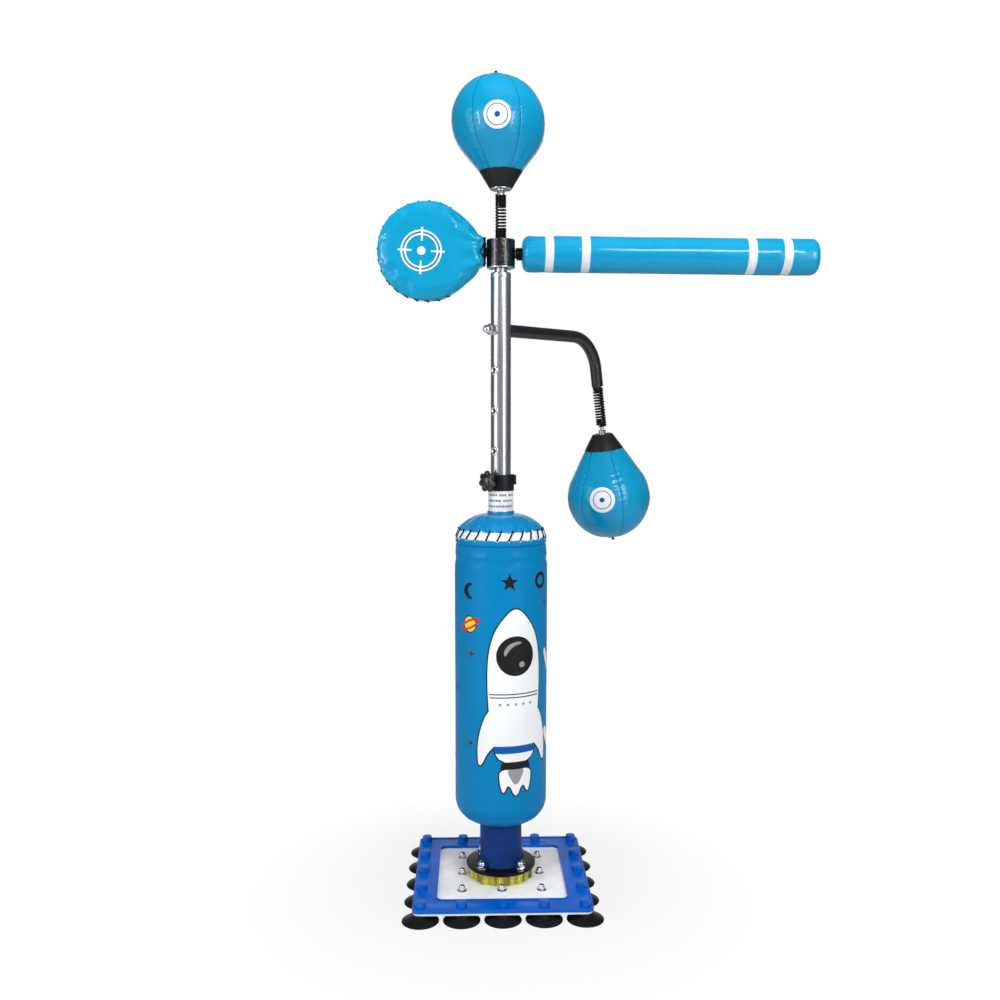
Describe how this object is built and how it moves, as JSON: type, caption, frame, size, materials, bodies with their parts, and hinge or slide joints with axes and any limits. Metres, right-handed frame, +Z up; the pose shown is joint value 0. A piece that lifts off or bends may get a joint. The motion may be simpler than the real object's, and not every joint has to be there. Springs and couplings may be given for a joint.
{
  "type": "free standing boxing trainer",
  "caption": "Free standing boxing trainer: padded bag on a square suction cup base, with a sliding mast that carries a spinning bar, a round paddle and punch balls on springs.",
  "frame": {"origin": "On the floor, on the mast's axis: the middle of the centre foot's flat underside.", "axes": "+Z up along the mast, +X along the spinning bar at rest, -X towards the round paddle, -Y towards the player."},
  "size_m": [0.8205, 0.5037, 1.537],
  "materials": {
    "black_rubber": "matte",
    "white_plate": "satin",
    "blue_frame": "satin",
    "chrome_steel": "polished",
    "zinc_steel": "satin",
    "insert_brass": "satin",
    "yellow_polyurethane": "gloss",
    "black_steel": "satin",
    "navy_sleeve": "satin",
    "steel_tube": "satin",
    "white_label": "satin",
    "core_plastic": "matte",
    "foam": "matte",
    "blue_leather": "gloss",
    "cyan_leather": "gloss",
    "white_fabric": "matte",
    "black_cord": "matte",
    "black_plastic": "satin",
    "gloss_black_plastic": "gloss",
    "spring_steel": "gloss",
    "plywood": "matte",
    "black_cone": "satin"
  },
  "bodies": {
    "base": {"suction_cups_outer": "black_rubber", "suction_cups_inner": "black_rubber", "center_foot": "black_rubber", "base_plate": "white_plate", "stud_frame": "blue_frame", "cup_bolts": "zinc_steel", "cup_washers": "chrome_steel", "cup_cap_nuts": "chrome_steel", "absorber_base_inserts": "insert_brass", "absorber_base_screws": "zinc_steel"},
    "absorber": {"shock_absorber": "yellow_polyurethane"},
    "column": {"absorber_top_inserts": "insert_brass", "flange_disc": "black_steel", "flange_studs": "zinc_steel", "flange_washers": "chrome_steel", "flange_cap_nuts": "chrome_steel", "column_sleeve": "navy_sleeve", "fixed_tube": "steel_tube", "label_band": "white_label", "bag_core_tube": "core_plastic", "bag_foam": "foam", "bag_cover": "blue_leather", "bag_liner": "white_fabric", "bag_cap": "blue_leather", "bag_lacing": "black_cord", "clamp_collar": "gloss_black_plastic", "collar_screw": "zinc_steel"},
    "knob": {"star_knob": "black_plastic"},
    "mast": {"mast_tube": "steel_tube", "mast_end_plug": "black_plastic", "mast_cap_spindle": "zinc_steel", "bearing_inner_races": "chrome_steel", "bearing_balls": "chrome_steel", "spindle_nut": "zinc_steel", "arm_tube": "black_steel", "arm_bolt": "chrome_steel"},
    "hub": {"bearing_outer_races": "chrome_steel", "hub_housing": "black_steel", "hub_lid": "black_plastic", "hub_cover_plate": "zinc_steel", "hub_cover_screws": "zinc_steel"},
    "bar_coil": {"bar_spring": "spring_steel"},
    "bar": {"bar_core": "zinc_steel", "bar_foam": "foam", "bar_cover": "cyan_leather"},
    "paddle_coil": {"paddle_spring": "spring_steel"},
    "paddle": {"paddle_board": "plywood", "paddle_foam": "foam", "paddle_cover": "cyan_leather", "paddle_lacing": "black_cord"},
    "top_coil": {"top_ball_spring": "spring_steel"},
    "top_ball": {"top_ball_fastener": "chrome_steel", "top_ball_cone": "black_cone", "top_ball_skin": "cyan_leather", "top_ball_bladder": "foam"},
    "arm_coil": {"arm_ball_spring": "spring_steel"},
    "arm_ball": {"arm_ball_fastener": "chrome_steel", "arm_ball_cone": "black_cone", "arm_ball_skin": "cyan_leather", "arm_ball_bladder": "foam"}
  },
  "joints": [
    {"name": "base_sway_side", "type": "hinge", "parent": "base", "child": "absorber", "pos_m": [0, 0, 0.031], "axis": [0, 1, 0], "range_deg": [-5, 5], "stiffness_Nm_per_rad": 1500, "springref_deg": -0.22, "deforming": ["shock_absorber"]},
    {"name": "base_sway_front", "type": "hinge", "parent": "absorber", "child": "column", "pos_m": [0, 0, 0.033], "axis": [1, 0, 0], "range_deg": [-5, 5], "stiffness_Nm_per_rad": 1500, "springref_deg": 0.11, "deforming": ["shock_absorber"]},
    {"name": "knob_turn", "type": "hinge", "parent": "column", "child": "knob", "pos_m": [-0.01768, -0.01768, 0.7855], "axis": [-0.7071, -0.7071, 0], "range_deg": [0, 720]},
    {"name": "height_slide", "type": "slide", "parent": "column", "child": "mast", "axis": [0, 0, 1], "range_m": [-0.225, 0.075]},
    {"name": "hub_spin", "type": "hinge", "parent": "mast", "child": "hub", "pos_m": [0, 0, 1.2075], "axis": [0, 0, 1], "continuous": true},
    {"name": "bar_lift", "type": "hinge", "parent": "hub", "child": "bar_coil", "pos_m": [0.0325, 0, 1.2068], "axis": [0, 1, 0], "range_deg": [-10, 10], "stiffness_Nm_per_rad": 90, "springref_deg": -2.02, "deforming": ["bar_spring"]},
    {"name": "bar_swing", "type": "hinge", "parent": "bar_coil", "child": "bar", "pos_m": [0.0375, 0, 1.2068], "axis": [0, 0, 1], "range_deg": [-10, 10], "stiffness_Nm_per_rad": 90, "deforming": ["bar_spring"]},
    {"name": "paddle_lift", "type": "hinge", "parent": "hub", "child": "paddle_coil", "pos_m": [-0.0325, 0, 1.2105], "axis": [0, 1, 0], "range_deg": [-6, 6], "stiffness_Nm_per_rad": 50, "springref_deg": 0.64, "deforming": ["paddle_spring"]},
    {"name": "paddle_swing", "type": "hinge", "parent": "paddle_coil", "child": "paddle", "pos_m": [-0.035, 0, 1.2105], "axis": [0, 0, 1], "range_deg": [-6, 6], "stiffness_Nm_per_rad": 50, "deforming": ["paddle_spring"]},
    {"name": "top_ball_lean_side", "type": "hinge", "parent": "mast", "child": "top_coil", "pos_m": [0, 0, 1.25362], "axis": [0, 1, 0], "range_deg": [-25, 25], "stiffness_Nm_per_rad": 14, "deforming": ["top_ball_spring"]},
    {"name": "top_ball_lean_front", "type": "hinge", "parent": "top_coil", "child": "top_ball", "pos_m": [0, 0, 1.29588], "axis": [1, 0, 0], "range_deg": [-25, 25], "stiffness_Nm_per_rad": 14, "deforming": ["top_ball_spring"]},
    {"name": "arm_ball_swing_out", "type": "hinge", "parent": "mast", "child": "arm_coil", "pos_m": [0.20893, 0.20893, 0.94766], "axis": [-0.7071, 0.7071, 0], "range_deg": [-25, 25], "stiffness_Nm_per_rad": 14, "springref_deg": -1.32, "deforming": ["arm_ball_spring"]},
    {"name": "arm_ball_swing_side", "type": "hinge", "parent": "arm_coil", "child": "arm_ball", "pos_m": [0.21415, 0.21415, 0.9058], "axis": [0.6964, 0.6964, 0.1736], "range_deg": [-25, 25], "stiffness_Nm_per_rad": 14, "deforming": ["arm_ball_spring"]}
  ]
}
